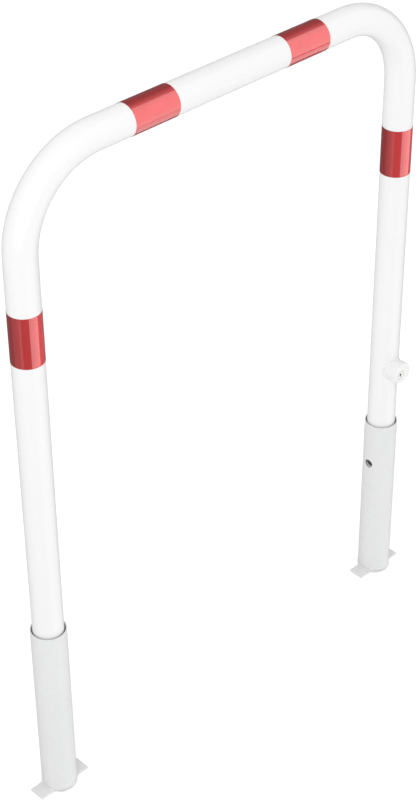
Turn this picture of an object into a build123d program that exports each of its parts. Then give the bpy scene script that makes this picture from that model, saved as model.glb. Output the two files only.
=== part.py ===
from build123d import *
import math
import os

# A removable hoop barrier for a footpath. Millimetres, +Z up, X along the barrier, Y across it.
# The origin is midway between the two legs, level with the underside of the ground sleeves' anchors.

# Hoop: one bent steel tube
TUBE_OD = 60.0
TUBE_WALL = 2.5
LEG_SPACING = 940.0
RAIL_HEIGHT = 1000.0
BEND_RADIUS = 165.0

# Ground sleeves and the flat bars welded across their lower ends
SLEEVE_GAP = 3.0
SLEEVE_WALL = 2.0
SLEEVE_LENGTH = 400.0
SLEEVE_HOLE_D = 20.0
ANCHOR_LENGTH = 120.0
ANCHOR_WIDTH = 35.0
ANCHOR_THICKNESS = 5.0

# Reflective films
BAND_WIDTH = 100.0
BAND_FILM = 0.3
BAND_GLUE = 0.1
RAIL_BAND_X = 184.0
LEG_BAND_DROP = 344.0

# Lock housing on the right leg, and the plug that turns in it
HOUSING_OD = 46.0
HOUSING_REACH = 53.0
HOUSING_EDGE = 3.0
LOCK_ABOVE_GROUND = 145.0
SPIGOT_WALL = 2.5
SPIGOT_CLEARANCE = 0.1
PLUG_OFFSET = 8.0
PLUG_D = 16.0
PLUG_HEAD_D = 22.0
PLUG_HEAD_THICKNESS = 3.0
PLUG_RECESS = 0.5
KEY_HOLE_D = 5.0
KEY_HOLE_DEPTH = 12.0
KEY_SLOT_LENGTH = 8.0
KEY_SLOT_WIDTH = 1.8
KEY_SLOT_DEPTH = 9.0

# Cam on the inner end of the plug
PLUG_TURN = 90.0
CRANK = 8.0
CAM_PIN_D = 5.0
CAM_RIM = 2.5
CAM_THICKNESS = 3.0
CAM_WALL_GAP = 1.0
DRIVE_SQUARE = 6.5
SCREW_D = 5.0
SCREW_LENGTH = 12.0
SCREW_HEX = 8.0
SCREW_HEAD_HEIGHT = 3.5
WASHER_D = 10.0
WASHER_THICKNESS = 1.0

# Lever inside the leg
PIVOT_ABOVE_GROUND = 25.0
PIVOT_OFFSET = 3.0
PIVOT_D = 10.0
LEVER_WIDTH = 14.0
LEVER_THICKNESS = 5.0
LEVER_END = 4.0
SPACER_WALL = 3.0

# Bolt at the level of the hole in the sleeve
BOLT_BELOW_GROUND = 102.0
BOLT_D = 16.0
BOLT_CHAMFER = 1.0
BOLT_INSET = 0.2
BOLT_BACK = 7.0
BOLT_PIN_D = 5.0
BOLT_PIN_INSET = 0.6
FORK_CLEARANCE = 1.5
GUIDE_WALL = 2.0
GUIDE_LENGTH = 15.0

# Clearances
RUNNING_CLEARANCE = 0.05
SLOT_CLEARANCE = 0.35
SIDE_CLEARANCE = 0.3
SEAT_CLEARANCE = 0.1

# Places that follow from the sizes above
tube_r = TUBE_OD / 2
bore_r = tube_r - TUBE_WALL
leg_x = LEG_SPACING / 2
band_bore_r = tube_r + BAND_GLUE
band_r = band_bore_r + BAND_FILM
ground_z = ANCHOR_THICKNESS + SLEEVE_LENGTH
rail_z = ground_z + RAIL_HEIGHT - tube_r
sleeve_bore_r = tube_r + SLEEVE_GAP
sleeve_r = sleeve_bore_r + SLEEVE_WALL
lock_z = ground_z + LOCK_ABOVE_GROUND
pivot_z = ground_z + PIVOT_ABOVE_GROUND
bolt_z = ground_z - BOLT_BELOW_GROUND
plug_x = leg_x - PLUG_OFFSET
pivot_x = leg_x - PIVOT_OFFSET
plug_r = PLUG_D / 2
plug_bore_r = plug_r + RUNNING_CLEARANCE
spigot_r = plug_bore_r + SPIGOT_WALL
cam_r = CRANK + CAM_PIN_D / 2 + CAM_RIM
cam_y = CAM_WALL_GAP - math.sqrt(bore_r**2 - (PLUG_OFFSET + cam_r) ** 2)
cam_inner_y = cam_y + CAM_THICKNESS
spigot_y = cam_y - SEAT_CLEARANCE
face_y = -HOUSING_REACH
head_y = face_y + PLUG_RECESS
head_seat_y = head_y + PLUG_HEAD_THICKNESS
guide_r = BOLT_D / 2 + RUNNING_CLEARANCE + GUIDE_WALL
guide_x = leg_x - math.sqrt(tube_r**2 - guide_r**2)


# The cam pin stands above the plug's axis at half turn, and goes the same way to each side of it.
def cam_pin_place(turn):
    angle = math.radians(turn)
    return plug_x + CRANK * math.sin(angle), lock_z + CRANK * math.cos(angle)


# The lever's lean from upright with the cam pin at a turn of the plug, in degrees about +Y.
def lever_lean(turn):
    x, z = cam_pin_place(turn)
    return math.degrees(math.atan2(x - pivot_x, z - pivot_z))


# The distance from the lever's pivot to the cam pin at a turn of the plug.
def upper_arm(turn):
    x, z = cam_pin_place(turn)
    return math.hypot(x - pivot_x, z - pivot_z)


# The bolt's cross pin stays at the bolt's level, on the lever's middle line.
def bolt_pin_place(lean):
    return pivot_x - (pivot_z - bolt_z) * math.tan(math.radians(lean))


# The distance from the lever's pivot to the bolt's cross pin at a lean of the lever.
def lower_arm(lean):
    return (pivot_z - bolt_z) / math.cos(math.radians(lean))


open_turn = -PLUG_TURN / 2
locked_turn = PLUG_TURN / 2
open_lean = lever_lean(open_turn)
locked_lean = lever_lean(locked_turn)
bolt_pin_x = bolt_pin_place(open_lean)
bolt_travel = bolt_pin_x - bolt_pin_place(locked_lean)
bolt_tip_x = leg_x - tube_r + BOLT_INSET


# A round bar along Y from one place to another.
def bar_y(radius, x, z, start, end):
    return Pos(x, (start + end) / 2, z) * Rot(90, 0, 0) * Cylinder(radius, end - start)


# A round bar along X from one place to another.
def bar_x(radius, z, start, end):
    return Pos((start + end) / 2, 0, z) * Rot(0, 90, 0) * Cylinder(radius, end - start)


# A round bar along Z from one height to another.
def bar_z(radius, x, start, end):
    return Pos(x, 0, (start + end) / 2) * Cylinder(radius, end - start)


# A tube along Y, such as a spacer.
def ring_y(outer, inner, x, z, start, end):
    return bar_y(outer, x, z, start, end) - bar_y(inner, x, z, start, end)


def make_hoop_tube():
    corners = [
        (-leg_x, 0, ANCHOR_THICKNESS),
        (-leg_x, 0, rail_z),
        (leg_x, 0, rail_z),
        (leg_x, 0, ANCHOR_THICKNESS),
    ]
    path = FilletPolyline(*corners, radius=BEND_RADIUS)
    section = Plane.XY.offset(ANCHOR_THICKNESS) * Pos(-leg_x, 0) * (Circle(tube_r) - Circle(bore_r))
    tube = sweep(section, path=path)
    tube -= bar_y(spigot_r + SPIGOT_CLEARANCE, plug_x, lock_z, -tube_r, 0)
    tube -= bar_y(PIVOT_D / 2, pivot_x, pivot_z, -tube_r, tube_r)
    tube -= bar_x(guide_r, bolt_z, leg_x - tube_r, leg_x)
    return tube


def make_rail_band(side):
    start = side * RAIL_BAND_X - BAND_WIDTH / 2
    end = start + BAND_WIDTH
    return bar_x(band_r, rail_z, start, end) - bar_x(band_bore_r, rail_z, start, end)


def make_leg_band(side):
    middle = ground_z + RAIL_HEIGHT - LEG_BAND_DROP
    start = middle - BAND_WIDTH / 2
    end = middle + BAND_WIDTH / 2
    x = side * leg_x
    return bar_z(band_r, x, start, end) - bar_z(band_bore_r, x, start, end)


def make_sleeve(side):
    x = side * leg_x
    sleeve = bar_z(sleeve_r, x, ANCHOR_THICKNESS, ground_z)
    sleeve -= bar_z(sleeve_bore_r, x, ANCHOR_THICKNESS, ground_z)
    if side > 0:
        sleeve -= bar_x(SLEEVE_HOLE_D / 2, bolt_z, x - sleeve_r, x)
    return sleeve


def make_anchor(side):
    return Pos(side * leg_x, 0, ANCHOR_THICKNESS / 2) * Box(ANCHOR_LENGTH, ANCHOR_WIDTH, ANCHOR_THICKNESS)


# The housing is turned from solid bar, coped to sit on the leg, with a spigot through the leg's wall.
def make_lock_housing():
    body = bar_y(HOUSING_OD / 2, leg_x, lock_z, face_y, 0)
    body = fillet(body.edges().sort_by(Axis.Y)[0], HOUSING_EDGE)
    body -= bar_z(tube_r, leg_x, lock_z - HOUSING_OD, lock_z + HOUSING_OD)
    body += bar_y(spigot_r, plug_x, lock_z, head_seat_y, spigot_y)
    head_pocket_r = PLUG_HEAD_D / 2 + SIDE_CLEARANCE
    body -= bar_y(head_pocket_r, plug_x, lock_z, face_y, head_seat_y + SEAT_CLEARANCE)
    body -= bar_y(plug_bore_r, plug_x, lock_z, head_seat_y, spigot_y)
    return body


# The plug is made at its open turn, with the key slot upright.
def make_lock_plug():
    plug = bar_y(PLUG_HEAD_D / 2, plug_x, lock_z, head_y, head_seat_y)
    plug += bar_y(plug_r, plug_x, lock_z, head_seat_y, cam_y)
    plug += drive_square(cam_y, cam_inner_y)
    plug -= bar_y(KEY_HOLE_D / 2, plug_x, lock_z, head_y, head_y + KEY_HOLE_DEPTH)
    slot = Box(KEY_SLOT_WIDTH, KEY_SLOT_DEPTH, KEY_SLOT_LENGTH)
    plug -= Pos(plug_x, head_y + KEY_SLOT_DEPTH / 2, lock_z) * slot
    plug -= bar_y(SCREW_D / 2, plug_x, lock_z, cam_inner_y + WASHER_THICKNESS - SCREW_LENGTH, cam_inner_y)
    return plug


def drive_square(start, end):
    square = Box(DRIVE_SQUARE, end - start, DRIVE_SQUARE)
    return Pos(plug_x, (start + end) / 2, lock_z) * Rot(0, open_turn, 0) * square


def make_lock_cam():
    x, z = cam_pin_place(open_turn)
    cam = bar_y(cam_r, plug_x, lock_z, cam_y, cam_inner_y)
    cam -= drive_square(cam_y, cam_inner_y)
    cam -= bar_y(CAM_PIN_D / 2, x, z, cam_y, cam_inner_y)
    return cam


def make_cam_pin():
    x, z = cam_pin_place(open_turn)
    return bar_y(CAM_PIN_D / 2, x, z, cam_y, LEVER_THICKNESS / 2 + BOLT_CHAMFER)


def make_cam_washer():
    return ring_y(WASHER_D / 2, SCREW_D / 2, plug_x, lock_z, cam_inner_y, cam_inner_y + WASHER_THICKNESS)


def make_cam_screw():
    head_seat = cam_inner_y + WASHER_THICKNESS
    screw = bar_y(SCREW_D / 2, plug_x, lock_z, head_seat - SCREW_LENGTH, head_seat)
    hexagon = extrude(RegularPolygon(SCREW_HEX / 2, 6, major_radius=False), SCREW_HEAD_HEIGHT)
    screw += Pos(plug_x, head_seat, lock_z) * Rot(-90, 0, 0) * hexagon
    return screw


# The lever is drawn upright about its pivot, then leaned to where the open lock holds it.
def make_locking_lever():
    reach_up = [upper_arm(open_turn), upper_arm(0), upper_arm(locked_turn)]
    reach_down = [lower_arm(open_lean), lower_arm(0), lower_arm(locked_lean)]
    top_slot = arm_slot(min(reach_up), max(reach_up), CAM_PIN_D)
    bottom_slot = arm_slot(-max(reach_down), -min(reach_down), BOLT_PIN_D)
    top = top_slot.bounding_box().max.Y + LEVER_END
    bottom = bottom_slot.bounding_box().min.Y - LEVER_END
    outline = Pos(0, (top + bottom) / 2) * SlotOverall(top - bottom, LEVER_WIDTH, rotation=90)
    outline -= Circle(PIVOT_D / 2 + RUNNING_CLEARANCE)
    outline -= top_slot
    outline -= bottom_slot
    lever = extrude(outline, LEVER_THICKNESS / 2, both=True)
    return Pos(pivot_x, 0, pivot_z) * Rot(0, open_lean, 0) * Rot(90, 0, 0) * lever


# A slot along the lever that lets a pin run between two distances from the pivot.
def arm_slot(near, far, pin_d):
    width = pin_d + 2 * SLOT_CLEARANCE
    return Pos(0, (near + far) / 2) * SlotOverall(far - near + 2 * SLOT_CLEARANCE + width, width, rotation=90)


# The pin's ends are ground flush with the outside of the leg.
def make_pivot_pin():
    pin = bar_y(PIVOT_D / 2, pivot_x, pivot_z, -tube_r, tube_r)
    return pin & bar_z(tube_r, leg_x, pivot_z - PIVOT_D, pivot_z + PIVOT_D)


def make_pivot_spacer(side):
    spacer_bore_r = PIVOT_D / 2 + RUNNING_CLEARANCE
    spacer_r = spacer_bore_r + SPACER_WALL
    inner = LEVER_THICKNESS / 2 + SIDE_CLEARANCE
    outer = math.sqrt(bore_r**2 - (PIVOT_OFFSET + spacer_r) ** 2) - SEAT_CLEARANCE
    start, end = sorted([side * inner, side * outer])
    return ring_y(spacer_r, spacer_bore_r, pivot_x, pivot_z, start, end)


def make_locking_bolt():
    end_x = bolt_pin_x + BOLT_BACK
    bolt = bar_x(BOLT_D / 2, bolt_z, bolt_tip_x, end_x)
    bolt = chamfer(bolt.edges().sort_by(Axis.X)[0], BOLT_CHAMFER)
    fork_x = bolt_pin_x - LEVER_WIDTH / 2 - FORK_CLEARANCE
    fork = Box(end_x - fork_x, LEVER_THICKNESS + 2 * SIDE_CLEARANCE, BOLT_D)
    bolt -= Pos((end_x + fork_x) / 2, 0, bolt_z) * fork
    bolt -= bar_y(BOLT_PIN_D / 2, bolt_pin_x, bolt_z, -BOLT_D / 2, BOLT_D / 2)
    return bolt


def make_bolt_pin():
    half = BOLT_D / 2 - BOLT_PIN_INSET
    return bar_y(BOLT_PIN_D / 2, bolt_pin_x, bolt_z, -half, half)


def make_bolt_guide():
    start, end = guide_x, guide_x + GUIDE_LENGTH
    return bar_x(guide_r, bolt_z, start, end) - bar_x(BOLT_D / 2 + RUNNING_CLEARANCE, bolt_z, start, end)


parts = {
    "hoop_tube": make_hoop_tube(),
    "band_rail_left": make_rail_band(-1),
    "band_rail_right": make_rail_band(1),
    "band_leg_left": make_leg_band(-1),
    "band_leg_right": make_leg_band(1),
    "lock_housing": make_lock_housing(),
    "lock_plug": make_lock_plug(),
    "lock_cam": make_lock_cam(),
    "cam_pin": make_cam_pin(),
    "cam_washer": make_cam_washer(),
    "cam_screw": make_cam_screw(),
    "locking_lever": make_locking_lever(),
    "lever_pivot_pin": make_pivot_pin(),
    "pivot_spacer_front": make_pivot_spacer(-1),
    "pivot_spacer_rear": make_pivot_spacer(1),
    "locking_bolt": make_locking_bolt(),
    "bolt_cross_pin": make_bolt_pin(),
    "bolt_guide": make_bolt_guide(),
    "sleeve_left": make_sleeve(-1),
    "sleeve_right": make_sleeve(1),
    "anchor_left": make_anchor(-1),
    "anchor_right": make_anchor(1),
}

os.makedirs("parts", exist_ok=True)
for name, solid in parts.items():
    export_step(solid, f"parts/{name}.step")

print("lever swing", round(locked_lean - open_lean, 4), "degrees; bolt travel", round(bolt_travel, 4), "mm")
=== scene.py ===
import math

import bmesh
import bpy
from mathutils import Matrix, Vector


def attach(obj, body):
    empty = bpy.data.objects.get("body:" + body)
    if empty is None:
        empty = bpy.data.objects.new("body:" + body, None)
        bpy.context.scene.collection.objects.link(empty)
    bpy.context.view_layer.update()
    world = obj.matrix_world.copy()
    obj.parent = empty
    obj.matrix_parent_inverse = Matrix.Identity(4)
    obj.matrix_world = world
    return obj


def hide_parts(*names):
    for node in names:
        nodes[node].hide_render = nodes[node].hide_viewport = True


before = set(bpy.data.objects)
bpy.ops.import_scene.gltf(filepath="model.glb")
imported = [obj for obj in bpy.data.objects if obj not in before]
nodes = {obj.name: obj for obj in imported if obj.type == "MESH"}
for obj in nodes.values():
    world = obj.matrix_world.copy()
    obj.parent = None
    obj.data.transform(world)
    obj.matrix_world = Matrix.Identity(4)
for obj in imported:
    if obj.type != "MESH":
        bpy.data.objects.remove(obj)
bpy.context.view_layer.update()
scene = bpy.context.scene


# Camera: it stands off the barrier's left front corner, well above it, and looks down along the line
# that makes the same angle with all three axes. Its place and lens come from the barrier's outlines.
camera_place = (-2.0842, -2.1044, 2.7978)
camera_down = 35.264
camera_heading = -45
camera_lens = 84.9
camera_sensor = 36
camera_shift = (-0.0314, -0.0063)

camera_data = bpy.data.cameras.new("camera")
camera_data.lens = camera_lens
camera_data.sensor_width = camera_sensor
camera_data.shift_x, camera_data.shift_y = camera_shift
camera = bpy.data.objects.new("camera", camera_data)
camera.location = camera_place
camera.rotation_euler = (math.radians(90 - camera_down), 0, math.radians(camera_heading))
scene.collection.objects.link(camera)
scene.camera = camera


# Studio: a pale floor in an even white room, and one soft lamp high up at the front left. The gloss on the
# barrier mirrors a dimmer room with a few oval panels of light. Each panel is given by its azimuth and height
# in degrees, its reach, its squeeze in height, the blur of its edge and its brightness.
floor_half = 60.0
floor_drop = 0.0005
floor_tone = (0.95, 0.95, 0.95, 1)
floor_roughness = 0.9
floor_glow = 0.18
room_fill = 0.875
room_seen = 1.0
room_dim = 0.18
low_wall = (-72, -32, 0.457, 2.1, 0.02, 2.0)
high_wall = (-38, 14, 0.66, 0.85, 0.02, 1.9)
pale_ground = (-30, -60, 0.43, 1.0, 0.03, 1.35)
side_wall = (168, -30, 0.46, 1.6, 0.06, 0.42)
side_strip = (-164, -32, 0.12, 0.7, 0.04, 0.75)
front_light = (-140, 25, 0.65, 1.0, 0.10, 3.4)
light_above = (-60, 46, 0.75, 1.0, 0.45, 0.85)
panels = (low_wall, high_wall, pale_ground, side_wall, side_strip, front_light, light_above)
lamp_place = (-2.3, -1.9, 4.8)
lamp_aim = (0.0, 0.0, 0.8)
lamp_size = 1.1
lamp_watts = 64

floor_mesh = bpy.data.meshes.new("floor")
floor_corners = [(-1, -1), (1, -1), (1, 1), (-1, 1)]
floor_points = [(x * floor_half, y * floor_half, -floor_drop) for x, y in floor_corners]
floor_mesh.from_pydata(floor_points, [], [(0, 1, 2, 3)])
floor = bpy.data.objects.new("floor", floor_mesh)
floor.visible_glossy = False
scene.collection.objects.link(floor)

floor_paint = bpy.data.materials.new("pale_floor")
floor_paint.use_nodes = True
floor_shader = floor_paint.node_tree.nodes["Principled BSDF"]
floor_shader.inputs["Base Color"].default_value = floor_tone
floor_shader.inputs["Roughness"].default_value = floor_roughness
floor_shader.inputs["Specular IOR Level"].default_value = 0.0
floor_shader.inputs["Emission Color"].default_value = (1, 1, 1, 1)
floor_shader.inputs["Emission Strength"].default_value = floor_glow
floor_mesh.materials.append(floor_paint)

room = bpy.data.worlds.new("white_room")
room.use_nodes = True
room_tree = room.node_tree
room_light = room_tree.nodes["Background"]
room_light.inputs["Color"].default_value = (1, 1, 1, 1)
direction = room_tree.nodes.new("ShaderNodeTexCoord")
mirrored = room_tree.nodes.new("ShaderNodeValue").outputs[0]
mirrored.default_value = room_dim
for azimuth, height, reach, squeeze, blur, bright in panels:
    across, up = math.radians(azimuth), math.radians(height)
    middle = (math.cos(up) * math.cos(across), math.cos(up) * math.sin(across), math.sin(up) * squeeze)
    squeezed = room_tree.nodes.new("ShaderNodeVectorMath")
    squeezed.operation = "MULTIPLY"
    squeezed.inputs[1].default_value = (1, 1, squeeze)
    apart = room_tree.nodes.new("ShaderNodeVectorMath")
    apart.operation = "DISTANCE"
    apart.inputs[1].default_value = middle
    panel = room_tree.nodes.new("ShaderNodeMapRange")
    panel.inputs["From Min"].default_value = reach + blur
    panel.inputs["From Max"].default_value = reach - blur
    panel.inputs["To Min"].default_value = 0.0
    panel.inputs["To Max"].default_value = bright
    total = room_tree.nodes.new("ShaderNodeMath")
    total.operation = "MAXIMUM"
    room_tree.links.new(direction.outputs["Generated"], squeezed.inputs[0])
    room_tree.links.new(squeezed.outputs["Vector"], apart.inputs[0])
    room_tree.links.new(apart.outputs["Value"], panel.inputs["Value"])
    room_tree.links.new(panel.outputs["Result"], total.inputs[0])
    room_tree.links.new(mirrored, total.inputs[1])
    mirrored = total.outputs[0]
ray = room_tree.nodes.new("ShaderNodeLightPath")
fill_or_mirror = room_tree.nodes.new("ShaderNodeMix")
fill_or_mirror.inputs["A"].default_value = room_fill
seen_or_lit = room_tree.nodes.new("ShaderNodeMix")
seen_or_lit.inputs["B"].default_value = room_seen
room_tree.links.new(ray.outputs["Is Glossy Ray"], fill_or_mirror.inputs["Factor"])
room_tree.links.new(mirrored, fill_or_mirror.inputs["B"])
room_tree.links.new(ray.outputs["Is Camera Ray"], seen_or_lit.inputs["Factor"])
room_tree.links.new(fill_or_mirror.outputs["Result"], seen_or_lit.inputs["A"])
room_tree.links.new(seen_or_lit.outputs["Result"], room_light.inputs["Strength"])
room.cycles.sampling_method = "NONE"
scene.world = room
scene.view_settings.view_transform = "Standard"

lamp_data = bpy.data.lights.new("soft_lamp", "AREA")
lamp_data.size = lamp_size
lamp_data.energy = lamp_watts
lamp = bpy.data.objects.new("soft_lamp", lamp_data)
lamp.location = lamp_place
lamp.rotation_euler = (Vector(lamp_aim) - Vector(lamp_place)).to_track_quat("-Z", "Y").to_euler()
lamp.visible_camera = False
lamp.visible_glossy = False
scene.collection.objects.link(lamp)


# Hoop: one round steel tube bent cold at two places, so both legs and the rail are one piece. It is zinc
# coated and then powder coated white, with a fine orange peel, a soft gloss and a faint drift in tone.
coat_light = (0.824, 0.824, 0.822, 1)
coat_shade = (0.806, 0.806, 0.806, 1)
coat_drift_scale = 2.5
coat_roughness = (0.27, 0.34)
coat_peel_scale = 620.0
coat_peel_height = 0.00004
coat_ior = 1.34
drift_detail = 3.0
drift_low = 0.3
drift_high = 0.7
relief_detail = 1.5


def add_node(tree, kind, **settings):
    node = tree.nodes.new(kind)
    for name, value in settings.items():
        setattr(node, name, value)
    return node


def shader_group(name, sockets):
    tree = bpy.data.node_groups.new(name, "ShaderNodeTree")
    for socket_name, in_or_out, kind, value in sockets:
        socket = tree.interface.new_socket(socket_name, in_out=in_or_out, socket_type=kind)
        if value is not None:
            socket.default_value = value
    return tree, tree.nodes.new("NodeGroupInput"), tree.nodes.new("NodeGroupOutput")


# tone_drift lets a colour wander slowly between two tones over a surface, and gives the mask that it used.
tone_drift, drift_in, drift_out = shader_group("tone_drift", [
    ("Light", "INPUT", "NodeSocketColor", (0.8, 0.8, 0.8, 1)),
    ("Shade", "INPUT", "NodeSocketColor", (0.7, 0.7, 0.7, 1)),
    ("Stretch", "INPUT", "NodeSocketVector", (1, 1, 1)),
    ("Scale", "INPUT", "NodeSocketFloat", 5.0),
    ("Colour", "OUTPUT", "NodeSocketColor", None),
    ("Mask", "OUTPUT", "NodeSocketFloat", None),
])
drift_place = add_node(tone_drift, "ShaderNodeTexCoord")
drift_stretch = add_node(tone_drift, "ShaderNodeVectorMath", operation="MULTIPLY")
drift_noise = add_node(tone_drift, "ShaderNodeTexNoise")
drift_noise.inputs["Detail"].default_value = drift_detail
drift_range = add_node(tone_drift, "ShaderNodeMapRange")
drift_range.inputs["From Min"].default_value = drift_low
drift_range.inputs["From Max"].default_value = drift_high
drift_mix = add_node(tone_drift, "ShaderNodeMix", data_type="RGBA")
tone_drift.links.new(drift_place.outputs["Object"], drift_stretch.inputs[0])
tone_drift.links.new(drift_in.outputs["Stretch"], drift_stretch.inputs[1])
tone_drift.links.new(drift_stretch.outputs["Vector"], drift_noise.inputs["Vector"])
tone_drift.links.new(drift_in.outputs["Scale"], drift_noise.inputs["Scale"])
tone_drift.links.new(drift_noise.outputs["Fac"], drift_range.inputs["Value"])
tone_drift.links.new(drift_range.outputs["Result"], drift_mix.inputs["Factor"])
tone_drift.links.new(drift_in.outputs["Light"], drift_mix.inputs[6])
tone_drift.links.new(drift_in.outputs["Shade"], drift_mix.inputs[7])
tone_drift.links.new(drift_mix.outputs[2], drift_out.inputs["Colour"])
tone_drift.links.new(drift_range.outputs["Result"], drift_out.inputs["Mask"])

# fine_relief is a small even roughness of the surface itself, such as orange peel, beads or a fine grain.
fine_relief, relief_in, relief_out = shader_group("fine_relief", [
    ("Stretch", "INPUT", "NodeSocketVector", (1, 1, 1)),
    ("Scale", "INPUT", "NodeSocketFloat", 500.0),
    ("Height", "INPUT", "NodeSocketFloat", 0.00003),
    ("Normal", "OUTPUT", "NodeSocketVector", None),
])
relief_place = add_node(fine_relief, "ShaderNodeTexCoord")
relief_stretch = add_node(fine_relief, "ShaderNodeVectorMath", operation="MULTIPLY")
relief_noise = add_node(fine_relief, "ShaderNodeTexNoise")
relief_noise.inputs["Detail"].default_value = relief_detail
relief_bump = add_node(fine_relief, "ShaderNodeBump")
fine_relief.links.new(relief_place.outputs["Object"], relief_stretch.inputs[0])
fine_relief.links.new(relief_in.outputs["Stretch"], relief_stretch.inputs[1])
fine_relief.links.new(relief_stretch.outputs["Vector"], relief_noise.inputs["Vector"])
fine_relief.links.new(relief_in.outputs["Scale"], relief_noise.inputs["Scale"])
fine_relief.links.new(relief_noise.outputs["Fac"], relief_bump.inputs["Height"])
fine_relief.links.new(relief_in.outputs["Height"], relief_bump.inputs["Distance"])
fine_relief.links.new(relief_bump.outputs["Normal"], relief_out.inputs["Normal"])


def finish_with(name, light, shade, stretch, drift_scale, roughness, relief_scale, relief_height):
    material = bpy.data.materials.new(name)
    material.use_nodes = True
    tree = material.node_tree
    shader = tree.nodes["Principled BSDF"]
    drift = add_node(tree, "ShaderNodeGroup", node_tree=tone_drift)
    drift.inputs["Light"].default_value = light
    drift.inputs["Shade"].default_value = shade
    drift.inputs["Stretch"].default_value = stretch
    drift.inputs["Scale"].default_value = drift_scale
    gloss = add_node(tree, "ShaderNodeMapRange")
    gloss.inputs["To Min"].default_value, gloss.inputs["To Max"].default_value = roughness
    relief = add_node(tree, "ShaderNodeGroup", node_tree=fine_relief)
    relief.inputs["Stretch"].default_value = stretch
    relief.inputs["Scale"].default_value = relief_scale
    relief.inputs["Height"].default_value = relief_height
    tree.links.new(drift.outputs["Colour"], shader.inputs["Base Color"])
    tree.links.new(drift.outputs["Mask"], gloss.inputs["Value"])
    tree.links.new(gloss.outputs["Result"], shader.inputs["Roughness"])
    tree.links.new(relief.outputs["Normal"], shader.inputs["Normal"])
    return material, shader


powder_coat, powder_shader = finish_with("white_powder_coat", coat_light, coat_shade, (1, 1, 1),
                                         coat_drift_scale, coat_roughness, coat_peel_scale, coat_peel_height)
powder_shader.inputs["IOR"].default_value = coat_ior
for name in ("hoop_tube", "lever_pivot_pin"):
    nodes[name].material_slots[0].material = powder_coat


# Lock housing: a short round boss turned from solid bar, its front edge rounded, coped to the right leg and
# welded on all round before the coat. The bead shows under the coat as a low rippled collar.
leg_x = 0.470
leg_radius = 0.030
lock_height = 0.550
housing_radius = 0.023
collar_points = 96
collar_radius = 0.0021
collar_out = 0.0004
collar_taper = 0.000001
collar_seed = 3.0
ripple_pitch = 0.0022
ripple_depth = 0.16
ripple_steps = 6.0
ripple_curve = 2.0
bead_wander = 0.12
bead_noise_scale = 260.0
bead_noise_detail = 1.0
bead_noise_middle = 0.5
bead_sides = 14
bead_end_size = 0.35

nodes["lock_housing"].material_slots[0].material = powder_coat


# A shape tree takes a geometry to start from and named inputs for its sizes, and gives one geometry.
def shape_tree(name, start, kinds, result):
    tree = bpy.data.node_groups.new(name, "GeometryNodeTree")
    tree.interface.new_socket(start, in_out="INPUT", socket_type="NodeSocketGeometry")
    identifiers = {}
    for socket_name, kind in kinds.items():
        socket = tree.interface.new_socket(socket_name, in_out="INPUT", socket_type="NodeSocket" + kind)
        identifiers[socket_name] = socket.identifier
    tree.interface.new_socket(result, in_out="OUTPUT", socket_type="NodeSocketGeometry")
    return tree, identifiers, tree.nodes.new("NodeGroupInput"), tree.nodes.new("NodeGroupOutput")


def calculate(tree, operation, *values):
    node = add_node(tree, "ShaderNodeMath", operation=operation)
    for index, value in enumerate(values):
        if isinstance(value, (int, float)):
            node.inputs[index].default_value = value
        else:
            tree.links.new(value, node.inputs[index])
    return node.outputs[0]


# The weld_bead tree lays a rippled bead along a path of edges.
weld_tree, weld_inputs, weld_in, weld_out = shape_tree("weld_bead", "Path", {
    "Bead Radius": "Float", "Ripple Pitch": "Float", "Ripple Depth": "Float", "Wander": "Float",
    "Taper": "Float", "Seed": "Float", "Finish": "Material",
}, "Bead")
weld_path = add_node(weld_tree, "GeometryNodeMeshToCurve")
weld_steps = add_node(weld_tree, "GeometryNodeResampleCurve", mode="LENGTH")
weld_along = add_node(weld_tree, "GeometryNodeSplineParameter")
weld_total = add_node(weld_tree, "GeometryNodeSplineLength")
weld_noise = add_node(weld_tree, "ShaderNodeTexNoise", noise_dimensions="4D")
weld_noise.inputs["Scale"].default_value = bead_noise_scale
weld_noise.inputs["Detail"].default_value = bead_noise_detail
weld_ring = add_node(weld_tree, "GeometryNodeCurvePrimitiveCircle")
weld_ring.inputs["Resolution"].default_value = bead_sides
weld_ring.inputs["Radius"].default_value = 1.0
weld_skin = add_node(weld_tree, "GeometryNodeCurveToMesh")
weld_skin.inputs["Fill Caps"].default_value = True
weld_smooth = add_node(weld_tree, "GeometryNodeSetShadeSmooth")
weld_real = add_node(weld_tree, "GeometryNodeRealizeInstances")
weld_finish = add_node(weld_tree, "GeometryNodeSetMaterial")
step_length = calculate(weld_tree, "DIVIDE", weld_in.outputs["Ripple Pitch"], ripple_steps)
ripple_phase = calculate(weld_tree, "DIVIDE", weld_along.outputs["Length"], weld_in.outputs["Ripple Pitch"])
ripple = calculate(weld_tree, "POWER", calculate(weld_tree, "FRACT", ripple_phase), ripple_curve)
ripple_drop = calculate(weld_tree, "MULTIPLY", ripple, weld_in.outputs["Ripple Depth"])
wander_side = calculate(weld_tree, "SUBTRACT", weld_noise.outputs["Fac"], bead_noise_middle)
wander = calculate(weld_tree, "MULTIPLY", wander_side, weld_in.outputs["Wander"])
full_size = calculate(weld_tree, "ADD", calculate(weld_tree, "SUBTRACT", 1.0, ripple_drop), wander)
distance_left = calculate(weld_tree, "SUBTRACT", weld_total.outputs["Length"], weld_along.outputs["Length"])
nearest_end = calculate(weld_tree, "MINIMUM", weld_along.outputs["Length"], distance_left)
end_share = calculate(weld_tree, "DIVIDE", nearest_end, weld_in.outputs["Taper"])
end_size = calculate(weld_tree, "MINIMUM", calculate(weld_tree, "ADD", end_share, bead_end_size), 1.0)
bead_size = calculate(weld_tree, "MULTIPLY", calculate(weld_tree, "MULTIPLY", full_size, end_size),
                      weld_in.outputs["Bead Radius"])
weld_tree.links.new(weld_in.outputs["Path"], weld_path.inputs["Mesh"])
weld_tree.links.new(weld_path.outputs["Curve"], weld_steps.inputs["Curve"])
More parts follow.
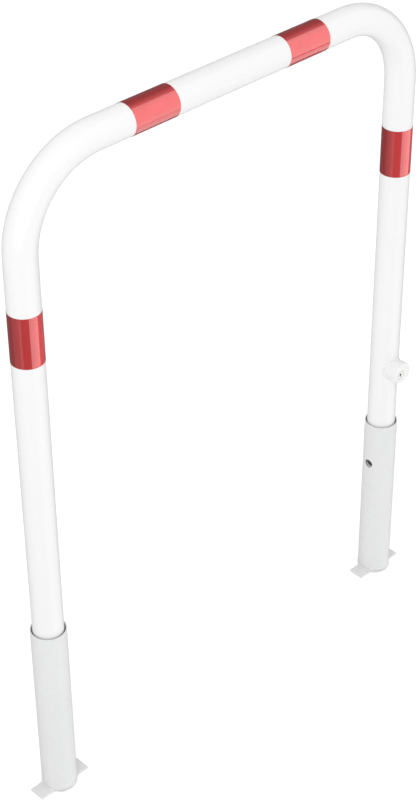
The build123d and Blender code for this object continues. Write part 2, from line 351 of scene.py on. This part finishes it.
weld_tree.links.new(step_length, weld_steps.inputs["Length"])
weld_tree.links.new(weld_in.outputs["Seed"], weld_noise.inputs["W"])
weld_tree.links.new(weld_steps.outputs["Curve"], weld_skin.inputs["Curve"])
weld_tree.links.new(bead_size, weld_skin.inputs["Scale"])
weld_tree.links.new(weld_ring.outputs["Curve"], weld_skin.inputs["Profile Curve"])
weld_tree.links.new(weld_skin.outputs["Mesh"], weld_smooth.inputs["Geometry"])
weld_tree.links.new(weld_smooth.outputs["Geometry"], weld_real.inputs["Geometry"])
weld_tree.links.new(weld_real.outputs["Geometry"], weld_finish.inputs["Geometry"])
weld_tree.links.new(weld_in.outputs["Finish"], weld_finish.inputs["Material"])
weld_tree.links.new(weld_finish.outputs["Geometry"], weld_out.inputs["Bead"])


# A tree's result becomes a plain mesh here, and nothing of the modifier stays on the piece.
def plain_piece(name, start_mesh, tree, identifiers, values):
    maker = bpy.data.objects.new(name + "_maker", start_mesh)
    scene.collection.objects.link(maker)
    modifier = maker.modifiers.new("maker", "NODES")
    modifier.node_group = tree
    for socket_name, value in values.items():
        modifier[identifiers[socket_name]] = value
    made = maker.evaluated_get(bpy.context.evaluated_depsgraph_get())
    mesh = bpy.data.meshes.new_from_object(made)
    mesh.name = name
    bpy.data.objects.remove(maker)
    piece = bpy.data.objects.new(name, mesh)
    scene.collection.objects.link(piece)
    return piece


def weld_along_paths(name, paths, closed, radius, taper, seed, finish):
    points = [point for path in paths for point in path]
    edges = []
    start = 0
    for path in paths:
        last = start + len(path) - 1
        edges += [(index, index + 1) for index in range(start, last)]
        if closed:
            edges.append((last, start))
        start = last + 1
    path_mesh = bpy.data.meshes.new(name + "_path")
    path_mesh.from_pydata(points, edges, [])
    values = {"Bead Radius": radius, "Ripple Pitch": ripple_pitch, "Ripple Depth": ripple_depth,
              "Wander": bead_wander, "Taper": taper, "Seed": seed, "Finish": finish}
    return plain_piece(name, path_mesh, weld_tree, weld_inputs, values)


collar_path = []
for step in range(collar_points):
    angle = 2 * math.pi * step / collar_points
    across = (housing_radius + collar_out) * math.cos(angle)
    rise = (housing_radius + collar_out) * math.sin(angle)
    depth = math.sqrt((leg_radius + collar_out) ** 2 - across ** 2)
    collar_path.append((leg_x + across, -depth, lock_height + rise))
lock_collar = weld_along_paths("lock_weld_collar", [collar_path], True, collar_radius, collar_taper,
                               collar_seed, powder_coat)
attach(lock_collar, "hoop")


# Lock plug: a cylinder turned from stainless steel and left bare, set off the middle of the boss, with a
# round key hole and its slot. It turns in the boss and carries the cam on its inner end.
plug_bright = (0.64, 0.63, 0.615, 1)
plug_shade = (0.57, 0.56, 0.55, 1)
plug_drift_scale = 90.0
plug_roughness = (0.30, 0.42)
plug_grain_scale = 1800.0
plug_grain_height = 0.00001
plug_metallic = 0.9

plug_steel, plug_shader = finish_with("lock_steel", plug_bright, plug_shade, (1, 1, 1), plug_drift_scale,
                                      plug_roughness, plug_grain_scale, plug_grain_height)
plug_shader.inputs["Metallic"].default_value = plug_metallic
nodes["lock_plug"].material_slots[0].material = plug_steel


# Cam, lever and bolt: the cam with its pin, washer and screw, the flat lever that hangs in the leg on its
# pivot, the round bolt it works, and their pin, spacers and guide. All are steel cut or turned and zinc
# plated. The bolt's colour is darkened to near black as painted shade, for the shade in the sleeve's hole,
# and it shows as a dark disc there.
zinc_light = (0.72, 0.73, 0.74, 1)
zinc_shade = (0.60, 0.60, 0.57, 1)
zinc_stretch = (1, 1, 0.4)
zinc_drift_scale = 70.0
zinc_roughness = (0.28, 0.45)
zinc_grain_scale = 900.0
zinc_grain_height = 0.00002
zinc_metallic = 1.0
# The bolt's near-black tones are painted shade: they stand in for the shade inside the sleeve's hole.
black_light = (0.115, 0.112, 0.108, 1)
black_shade = (0.085, 0.083, 0.080, 1)
black_stretch = (0.2, 1, 1)
black_drift_scale = 60.0
black_roughness = (0.36, 0.48)
black_grain_scale = 1200.0
black_grain_height = 0.00001
black_metallic = 0.6

zinc_plate, zinc_shader = finish_with("zinc_plate", zinc_light, zinc_shade, zinc_stretch, zinc_drift_scale,
                                      zinc_roughness, zinc_grain_scale, zinc_grain_height)
zinc_shader.inputs["Metallic"].default_value = zinc_metallic
for name in ("lock_cam", "cam_pin", "cam_washer", "cam_screw", "locking_lever", "pivot_spacer_front",
             "pivot_spacer_rear", "bolt_cross_pin", "bolt_guide"):
    nodes[name].material_slots[0].material = zinc_plate

# Painted shade: this near-black finish on the bolt stands in for the shade inside the sleeve's hole.
black_zinc, black_shader = finish_with("black_zinc_plate", black_light, black_shade, black_stretch,
                                       black_drift_scale, black_roughness, black_grain_scale,
                                       black_grain_height)
black_shader.inputs["Metallic"].default_value = black_metallic
nodes["locking_bolt"].material_slots[0].material = black_zinc


# Reflective films: four strips of red reflective sheeting, each wrapped once round the tube with a short lap
# at its end. Small glass beads under a clear hard face give the red its sparkle and a sharp mirror.
film_light = (0.60, 0.039, 0.043, 1)
film_shade = (0.57, 0.036, 0.040, 1)
film_drift_scale = 30.0
film_roughness = (0.50, 0.56)
film_bead_scale = 1700.0
film_bead_height = 0.000012
film_metallic = 0.8
film_face_weight = 1.0
film_face_roughness = 0.03
film_face_ior = 1.75
film_width = 0.100
film_inside = 0.0301
film_thickness = 0.0003
film_lap = 0.012
film_steps = 240
film_rows = 3
film_seam = 0.000002
lap_rise_start = 0.07
lap_rise_end = 0.01
lap_clearance = 1.1
sharp_fold = 0.6
rail_height = 1.375
rail_film_x = 0.184
leg_film_height = 1.061

film_finish, film_shader = finish_with("red_reflective_film", film_light, film_shade, (1, 1, 1),
                                       film_drift_scale, film_roughness, film_bead_scale, film_bead_height)
film_shader.inputs["Metallic"].default_value = film_metallic
film_shader.inputs["Coat Weight"].default_value = film_face_weight
film_shader.inputs["Coat Roughness"].default_value = film_face_roughness
film_shader.inputs["Coat IOR"].default_value = film_face_ior

# The wrapped_film tree rolls a flat strip round the tube, lifts its end over its start and thickens it.
film_tree, film_inputs, film_in, film_out = shape_tree("wrapped_film", "Start", {
    "Inside Radius": "Float", "Width": "Float", "Thickness": "Float", "Lap": "Float", "Turn": "Vector",
    "Place": "Vector", "Finish": "Material",
}, "Film")
strip = add_node(film_tree, "GeometryNodeMeshGrid")
strip.inputs["Size X"].default_value = 1.0
strip.inputs["Size Y"].default_value = 1.0
strip.inputs["Vertices X"].default_value = film_steps + 1
strip.inputs["Vertices Y"].default_value = film_rows
strip_place = add_node(film_tree, "GeometryNodeInputPosition")
strip_split = add_node(film_tree, "ShaderNodeSeparateXYZ")
strip_join = add_node(film_tree, "ShaderNodeCombineXYZ")
strip_wrap = add_node(film_tree, "GeometryNodeSetPosition")
strip_lift = add_node(film_tree, "ShaderNodeMapRange", interpolation_type="SMOOTHSTEP")
strip_lift.inputs["From Min"].default_value = 2 * math.pi - lap_rise_start
strip_lift.inputs["From Max"].default_value = 2 * math.pi - lap_rise_end
strip_thick = add_node(film_tree, "GeometryNodeExtrudeMesh", mode="FACES")
strip_thick.inputs["Individual"].default_value = False
strip_under = add_node(film_tree, "GeometryNodeFlipFaces")
strip_both = add_node(film_tree, "GeometryNodeJoinGeometry")
strip_sewn = add_node(film_tree, "GeometryNodeMergeByDistance")
strip_sewn.inputs["Distance"].default_value = film_seam
strip_smooth = add_node(film_tree, "GeometryNodeSetShadeSmooth")
strip_angle = add_node(film_tree, "GeometryNodeInputMeshEdgeAngle")
strip_crease = add_node(film_tree, "GeometryNodeSetShadeSmooth", domain="EDGE")
strip_crease.inputs["Shade Smooth"].default_value = False
strip_placed = add_node(film_tree, "GeometryNodeTransform")
strip_real = add_node(film_tree, "GeometryNodeRealizeInstances")
strip_finish = add_node(film_tree, "GeometryNodeSetMaterial")
lap_angle = calculate(film_tree, "DIVIDE", film_in.outputs["Lap"], film_in.outputs["Inside Radius"])
wrap_angle = calculate(film_tree, "ADD", lap_angle, 2 * math.pi)
strip_share = calculate(film_tree, "ADD", strip_split.outputs["X"], 0.5)
strip_turn = calculate(film_tree, "MULTIPLY", strip_share, wrap_angle)
lift = calculate(film_tree, "MULTIPLY", strip_lift.outputs["Result"], film_in.outputs["Thickness"])
clear_lift = calculate(film_tree, "MULTIPLY", lift, lap_clearance)
strip_radius = calculate(film_tree, "ADD", film_in.outputs["Inside Radius"], clear_lift)
strip_x = calculate(film_tree, "MULTIPLY", strip_radius, calculate(film_tree, "COSINE", strip_turn))
strip_y = calculate(film_tree, "MULTIPLY", strip_radius, calculate(film_tree, "SINE", strip_turn))
strip_z = calculate(film_tree, "MULTIPLY", strip_split.outputs["Y"], film_in.outputs["Width"])
sharp_edge = calculate(film_tree, "GREATER_THAN", strip_angle.outputs["Unsigned Angle"], sharp_fold)
film_tree.links.new(strip_turn, strip_lift.inputs["Value"])
film_tree.links.new(strip_place.outputs["Position"], strip_split.inputs["Vector"])
film_tree.links.new(strip_x, strip_join.inputs["X"])
film_tree.links.new(strip_y, strip_join.inputs["Y"])
film_tree.links.new(strip_z, strip_join.inputs["Z"])
film_tree.links.new(strip.outputs["Mesh"], strip_wrap.inputs["Geometry"])
film_tree.links.new(strip_join.outputs["Vector"], strip_wrap.inputs["Position"])
film_tree.links.new(strip_wrap.outputs["Geometry"], strip_thick.inputs["Mesh"])
film_tree.links.new(film_in.outputs["Thickness"], strip_thick.inputs["Offset Scale"])
film_tree.links.new(strip_wrap.outputs["Geometry"], strip_under.inputs["Mesh"])
film_tree.links.new(strip_thick.outputs["Mesh"], strip_both.inputs["Geometry"])
film_tree.links.new(strip_under.outputs["Mesh"], strip_both.inputs["Geometry"])
film_tree.links.new(strip_both.outputs["Geometry"], strip_sewn.inputs["Geometry"])
film_tree.links.new(strip_sewn.outputs["Geometry"], strip_smooth.inputs["Geometry"])
film_tree.links.new(strip_smooth.outputs["Geometry"], strip_crease.inputs["Geometry"])
film_tree.links.new(sharp_edge, strip_crease.inputs["Selection"])
film_tree.links.new(strip_crease.outputs["Geometry"], strip_placed.inputs["Geometry"])
film_tree.links.new(film_in.outputs["Turn"], strip_placed.inputs["Rotation"])
film_tree.links.new(film_in.outputs["Place"], strip_placed.inputs["Translation"])
film_tree.links.new(strip_placed.outputs["Geometry"], strip_real.inputs["Geometry"])
film_tree.links.new(strip_real.outputs["Geometry"], strip_finish.inputs["Geometry"])
film_tree.links.new(film_in.outputs["Finish"], strip_finish.inputs["Material"])
film_tree.links.new(strip_finish.outputs["Geometry"], film_out.inputs["Film"])

lap_below = (0.0, math.pi / 2, 0.0)
lap_behind = (0.0, 0.0, math.pi / 2)
for name, turn, place in (
    ("band_rail_left", lap_below, (-rail_film_x, 0.0, rail_height)),
    ("band_rail_right", lap_below, (rail_film_x, 0.0, rail_height)),
    ("band_leg_left", lap_behind, (-leg_x, 0.0, leg_film_height)),
    ("band_leg_right", lap_behind, (leg_x, 0.0, leg_film_height)),
):
    values = {"Inside Radius": film_inside, "Width": film_width, "Thickness": film_thickness, "Lap": film_lap,
              "Turn": turn, "Place": place, "Finish": film_finish}
    start_mesh = bpy.data.meshes.new(name + "_start")
    film = plain_piece(name.replace("band", "film"), start_mesh, film_tree, film_inputs, values)
    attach(film, "hoop")
    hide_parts(name)


# Ground sleeves: two lengths of welded steel tube that are set in concrete, hot dip galvanised to a dull
# light grey with a faint spangle. Their ends are cut square and rounded off, and the right one is drilled
# for the bolt.
zinc_pale = (0.722, 0.724, 0.727, 1)
zinc_grey = (0.697, 0.700, 0.704, 1)
galvanised_stretch = (1, 1, 0.35)
galvanised_drift_scale = 16.0
galvanised_roughness = (0.44, 0.56)
galvanised_grain_scale = 420.0
galvanised_grain_height = 0.00003
galvanised_metallic = 0.02
galvanised_ior = 1.36
sleeve_radius = 0.035
sleeve_wall = 0.002
sleeve_rim = 0.0006
sleeve_low = 0.005
sleeve_top = 0.405
bolt_hole_radius = 0.010
bolt_height = 0.303
sleeve_sides = 192
rim_steps = 4
drill_sides = 72
spangle_scale = 140.0
spangle_strength = 0.012

galvanised, galvanised_shader = finish_with("galvanised_steel", zinc_pale, zinc_grey, galvanised_stretch,
                                            galvanised_drift_scale, galvanised_roughness,
                                            galvanised_grain_scale, galvanised_grain_height)
galvanised_shader.inputs["Metallic"].default_value = galvanised_metallic
galvanised_shader.inputs["IOR"].default_value = galvanised_ior
galvanised_tree = galvanised.node_tree
spangle_place = add_node(galvanised_tree, "ShaderNodeTexCoord")
spangle = add_node(galvanised_tree, "ShaderNodeTexVoronoi")
spangle.inputs["Scale"].default_value = spangle_scale
spangle_tone = add_node(galvanised_tree, "ShaderNodeMapRange")
spangle_tone.inputs["To Min"].default_value = 1.0 - spangle_strength
spangle_tone.inputs["To Max"].default_value = 1.0 + spangle_strength
spangle_split = add_node(galvanised_tree, "ShaderNodeSeparateColor")
spangle_mix = add_node(galvanised_tree, "ShaderNodeVectorMath", operation="SCALE")
base_source = galvanised_shader.inputs["Base Color"].links[0].from_socket
galvanised_tree.links.new(spangle_place.outputs["Object"], spangle.inputs["Vector"])
galvanised_tree.links.new(spangle.outputs["Color"], spangle_split.inputs["Color"])
galvanised_tree.links.new(spangle_split.outputs["Red"], spangle_tone.inputs["Value"])
galvanised_tree.links.new(base_source, spangle_mix.inputs["Vector"])
galvanised_tree.links.new(spangle_tone.outputs["Result"], spangle_mix.inputs["Scale"])
galvanised_tree.links.new(spangle_mix.outputs["Vector"], galvanised_shader.inputs["Base Color"])

# The steel_sleeve tree takes the wall's rounded section round a circle, and drills it where it is asked to.
sleeve_tree, sleeve_inputs, sleeve_in, sleeve_out = shape_tree("steel_sleeve", "Start", {
    "Radius": "Float", "Wall": "Float", "Rim": "Float", "Low": "Float", "Top": "Float", "Across": "Float",
    "Drilled": "Bool", "Hole Radius": "Float", "Hole Height": "Float", "Finish": "Material",
}, "Sleeve")
round_path = add_node(sleeve_tree, "GeometryNodeCurvePrimitiveCircle")
round_path.inputs["Resolution"].default_value = sleeve_sides
wall_section = add_node(sleeve_tree, "GeometryNodeCurvePrimitiveQuadrilateral")
wall_rounded = add_node(sleeve_tree, "GeometryNodeFilletCurve", mode="POLY")
wall_rounded.inputs["Count"].default_value = rim_steps
tube_skin = add_node(sleeve_tree, "GeometryNodeCurveToMesh")
tube_placed = add_node(sleeve_tree, "GeometryNodeTransform")
tube_centre = add_node(sleeve_tree, "ShaderNodeCombineXYZ")
drill = add_node(sleeve_tree, "GeometryNodeMeshCylinder")
drill.inputs["Vertices"].default_value = drill_sides
drill_placed = add_node(sleeve_tree, "GeometryNodeTransform")
drill_placed.inputs["Rotation"].default_value = (0.0, math.pi / 2, 0.0)
drill_centre = add_node(sleeve_tree, "ShaderNodeCombineXYZ")
drilled_tube = add_node(sleeve_tree, "GeometryNodeMeshBoolean", operation="DIFFERENCE", solver="EXACT")
tube_choice = add_node(sleeve_tree, "GeometryNodeSwitch", input_type="GEOMETRY")
tube_smooth = add_node(sleeve_tree, "GeometryNodeSetShadeSmooth")
tube_angle = add_node(sleeve_tree, "GeometryNodeInputMeshEdgeAngle")
tube_crease = add_node(sleeve_tree, "GeometryNodeSetShadeSmooth", domain="EDGE")
tube_crease.inputs["Shade Smooth"].default_value = False
tube_real = add_node(sleeve_tree, "GeometryNodeRealizeInstances")
tube_finish = add_node(sleeve_tree, "GeometryNodeSetMaterial")
half_wall = calculate(sleeve_tree, "DIVIDE", sleeve_in.outputs["Wall"], 2.0)
middle_radius = calculate(sleeve_tree, "SUBTRACT", sleeve_in.outputs["Radius"], half_wall)
tube_length = calculate(sleeve_tree, "SUBTRACT", sleeve_in.outputs["Top"], sleeve_in.outputs["Low"])
both_ends = calculate(sleeve_tree, "ADD", sleeve_in.outputs["Top"], sleeve_in.outputs["Low"])
tube_middle = calculate(sleeve_tree, "DIVIDE", both_ends, 2.0)
drill_x = calculate(sleeve_tree, "SUBTRACT", sleeve_in.outputs["Across"], sleeve_in.outputs["Radius"])
tube_sharp = calculate(sleeve_tree, "GREATER_THAN", tube_angle.outputs["Unsigned Angle"], sharp_fold)
sleeve_tree.links.new(middle_radius, round_path.inputs["Radius"])
sleeve_tree.links.new(sleeve_in.outputs["Wall"], wall_section.inputs["Width"])
sleeve_tree.links.new(tube_length, wall_section.inputs["Height"])
sleeve_tree.links.new(wall_section.outputs["Curve"], wall_rounded.inputs["Curve"])
sleeve_tree.links.new(sleeve_in.outputs["Rim"], wall_rounded.inputs["Radius"])
sleeve_tree.links.new(round_path.outputs["Curve"], tube_skin.inputs["Curve"])
sleeve_tree.links.new(wall_rounded.outputs["Curve"], tube_skin.inputs["Profile Curve"])
sleeve_tree.links.new(tube_skin.outputs["Mesh"], tube_placed.inputs["Geometry"])
sleeve_tree.links.new(sleeve_in.outputs["Across"], tube_centre.inputs["X"])
sleeve_tree.links.new(tube_middle, tube_centre.inputs["Z"])
sleeve_tree.links.new(tube_centre.outputs["Vector"], tube_placed.inputs["Translation"])
sleeve_tree.links.new(sleeve_in.outputs["Hole Radius"], drill.inputs["Radius"])
sleeve_tree.links.new(sleeve_in.outputs["Radius"], drill.inputs["Depth"])
sleeve_tree.links.new(drill.outputs["Mesh"], drill_placed.inputs["Geometry"])
sleeve_tree.links.new(drill_x, drill_centre.inputs["X"])
sleeve_tree.links.new(sleeve_in.outputs["Hole Height"], drill_centre.inputs["Z"])
sleeve_tree.links.new(drill_centre.outputs["Vector"], drill_placed.inputs["Translation"])
sleeve_tree.links.new(tube_placed.outputs["Geometry"], drilled_tube.inputs["Mesh 1"])
sleeve_tree.links.new(drill_placed.outputs["Geometry"], drilled_tube.inputs["Mesh 2"])
sleeve_tree.links.new(sleeve_in.outputs["Drilled"], tube_choice.inputs["Switch"])
sleeve_tree.links.new(tube_placed.outputs["Geometry"], tube_choice.inputs["False"])
sleeve_tree.links.new(drilled_tube.outputs["Mesh"], tube_choice.inputs["True"])
sleeve_tree.links.new(tube_choice.outputs["Output"], tube_smooth.inputs["Geometry"])
sleeve_tree.links.new(tube_smooth.outputs["Geometry"], tube_crease.inputs["Geometry"])
sleeve_tree.links.new(tube_sharp, tube_crease.inputs["Selection"])
sleeve_tree.links.new(tube_crease.outputs["Geometry"], tube_real.inputs["Geometry"])
sleeve_tree.links.new(tube_real.outputs["Geometry"], tube_finish.inputs["Geometry"])
sleeve_tree.links.new(sleeve_in.outputs["Finish"], tube_finish.inputs["Material"])
sleeve_tree.links.new(tube_finish.outputs["Geometry"], sleeve_out.inputs["Sleeve"])

for name, side in (("sleeve_left", -1), ("sleeve_right", 1)):
    values = {"Radius": sleeve_radius, "Wall": sleeve_wall, "Rim": sleeve_rim, "Low": sleeve_low,
              "Top": sleeve_top, "Across": side * leg_x, "Drilled": side > 0, "Hole Radius": bolt_hole_radius,
              "Hole Height": bolt_height, "Finish": galvanised}
    start_mesh = bpy.data.meshes.new(name + "_start")
    sleeve = plain_piece(name + "_tube", start_mesh, sleeve_tree, sleeve_inputs, values)
    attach(sleeve, "ground_sleeves")
    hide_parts(name)


# Anchors: a flat bar sheared to length and welded across the foot of each sleeve, so it can't be pulled out
# of the concrete. The bar's rolled edges are rounded, and a bead on each side joins it to the sleeve.
anchor_length = 0.120
anchor_width = 0.035
anchor_thickness = 0.005
anchor_round = 0.0007
anchor_round_steps = 3
anchor_sharp = math.radians(50)
foot_bead_radius = 0.0026
foot_bead_out = 0.0006
foot_bead_taper = 0.004
foot_bead_seed = 11.0
foot_bead_half_turn = math.radians(27)
foot_bead_points = 24

for name, side in (("anchor_left", -1), ("anchor_right", 1)):
    bar = bmesh.new()
    bmesh.ops.create_cube(bar, size=1.0)
    for point in bar.verts:
        point.co.x = side * leg_x + point.co.x * anchor_length
        point.co.y *= anchor_width
        point.co.z = (point.co.z + 0.5) * anchor_thickness
    bmesh.ops.bevel(bar, geom=bar.edges[:], offset=anchor_round, segments=anchor_round_steps, profile=0.5,
                    affect="EDGES")
    for face in bar.faces:
        face.smooth = True
    bar_mesh = bpy.data.meshes.new(name + "_bar")
    bar.to_mesh(bar_mesh)
    bar.free()
    bar_mesh.set_sharp_from_angle(angle=anchor_sharp)
    bar_mesh.materials.append(galvanised)
    bar_piece = bpy.data.objects.new(name + "_bar", bar_mesh)
    scene.collection.objects.link(bar_piece)
    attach(bar_piece, "ground_sleeves")
    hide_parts(name)
    paths = []
    for way in (0, math.pi):
        arc = []
        for step in range(foot_bead_points + 1):
            angle = way - foot_bead_half_turn + 2 * foot_bead_half_turn * step / foot_bead_points
            reach = sleeve_radius + foot_bead_out
            across = side * leg_x + reach * math.cos(angle)
            arc.append((across, reach * math.sin(angle), anchor_thickness + foot_bead_out))
        paths.append(arc)
    foot_bead = weld_along_paths(name + "_weld", paths, False, foot_bead_radius, foot_bead_taper,
                                 foot_bead_seed + side, galvanised)
    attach(foot_bead, "ground_sleeves")
